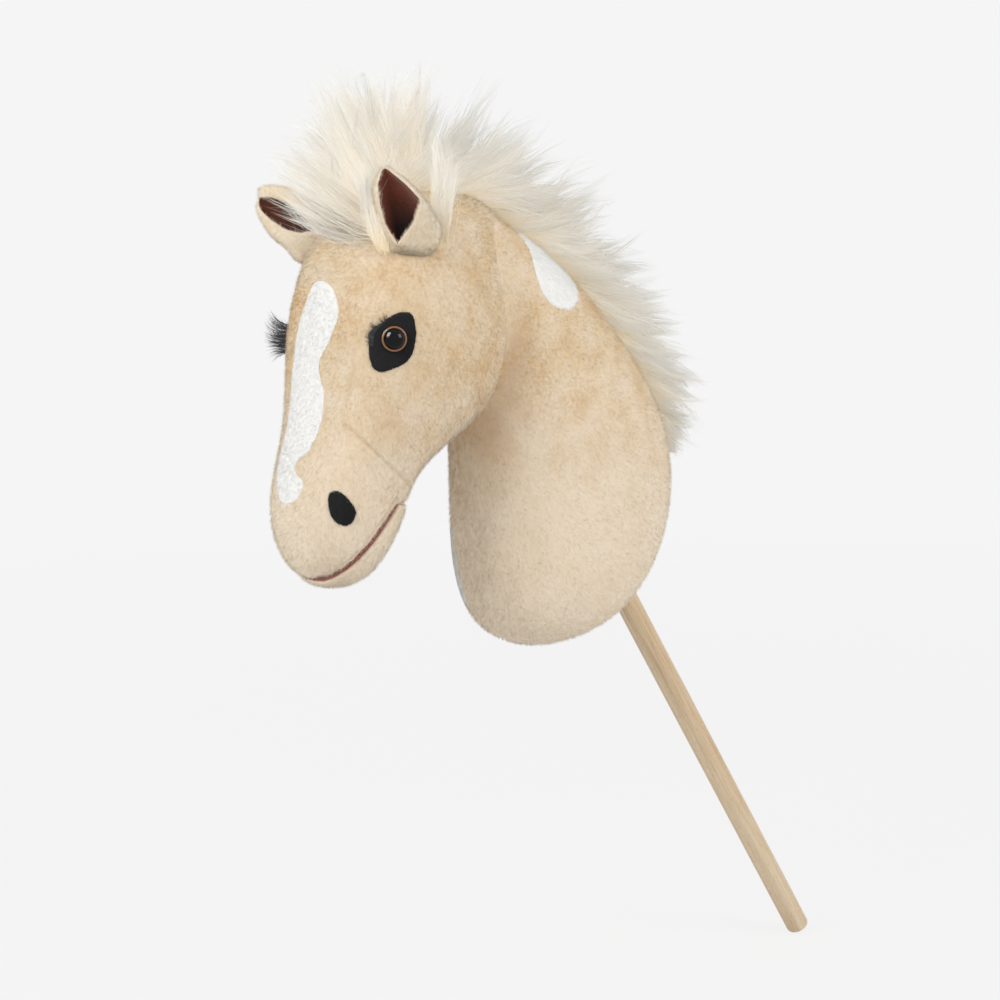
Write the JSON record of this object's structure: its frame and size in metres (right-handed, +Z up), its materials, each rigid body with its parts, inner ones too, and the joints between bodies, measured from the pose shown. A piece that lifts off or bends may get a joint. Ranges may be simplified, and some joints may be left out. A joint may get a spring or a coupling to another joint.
{
  "type": "plush hobby horse",
  "caption": "Stuffed plush horse head and neck on a short wooden stick, with a folding lower jaw and a head that pulls off the stick.",
  "frame": {"origin": "centre of the flat lower end of the stick", "axes": "+Z up as the horse is held in the picture, -Y towards the way the horse faces, +X to the horse's left; the stick leans 32.6 degrees forward at its foot"},
  "size_m": [0.1648, 0.4884, 0.6694],
  "materials": {
    "wood": "satin",
    "socket_plastic": "matte",
    "washer_plastic": "matte",
    "plush": "matte",
    "white_plush": "matte",
    "long_hair": "matte",
    "ear_velour": "matte",
    "black_felt": "matte",
    "mouth_lining": "matte",
    "wadding": "matte",
    "knit_backing": "matte",
    "woven_tape": "matte",
    "lash_fibre": "satin",
    "eye_black": "gloss",
    "eye_amber": "gloss"
  },
  "bodies": {
    "stick": {"stick": "wood"},
    "head": {"socket_tube": "socket_plastic", "socket_cap": "socket_plastic", "neck_panel_left": "plush", "neck_panel_right": "plush", "neck_stuffing": "wadding", "cheek_panel_left": "plush", "cheek_panel_right": "plush", "face_panel": "plush", "head_stuffing": "wadding", "mouth_lining_upper": "mouth_lining", "blaze": "white_plush", "eye_patch_left": "black_felt", "eye_patch_right": "black_felt", "nostril_left": "black_felt", "nostril_right": "black_felt", "neck_spot": "white_plush", "chest_patch": "white_plush", "eye_left": "eye_black", "eye_right": "eye_black", "eye_rim_left": "eye_amber", "eye_rim_right": "eye_amber", "eye_washer_left": "washer_plastic", "eye_washer_right": "washer_plastic", "lashes_left": "lash_fibre", "lashes_right": "lash_fibre", "ear_left": "plush", "ear_right": "plush", "ear_lining_left": "ear_velour", "ear_lining_right": "ear_velour", "mane_backing": "knit_backing", "mane": "long_hair", "forelock": "long_hair", "seam_tab": "woven_tape"},
    "jaw": {"lower_jaw": "plush", "jaw_stuffing": "wadding", "mouth_lining_lower": "mouth_lining"}
  },
  "joints": [
    {"name": "head_pull", "type": "slide", "parent": "stick", "child": "head", "axis": [0, -0.5388, 0.8425], "range_m": [0, 0.27]},
    {"name": "jaw_fold", "type": "hinge", "parent": "head", "child": "jaw", "pos_m": [0, -0.389, 0.377], "axis": [1, 0, 0], "range_deg": [0, 12], "stiffness_Nm_per_rad": 0.06, "springref_deg": -17.19}
  ]
}
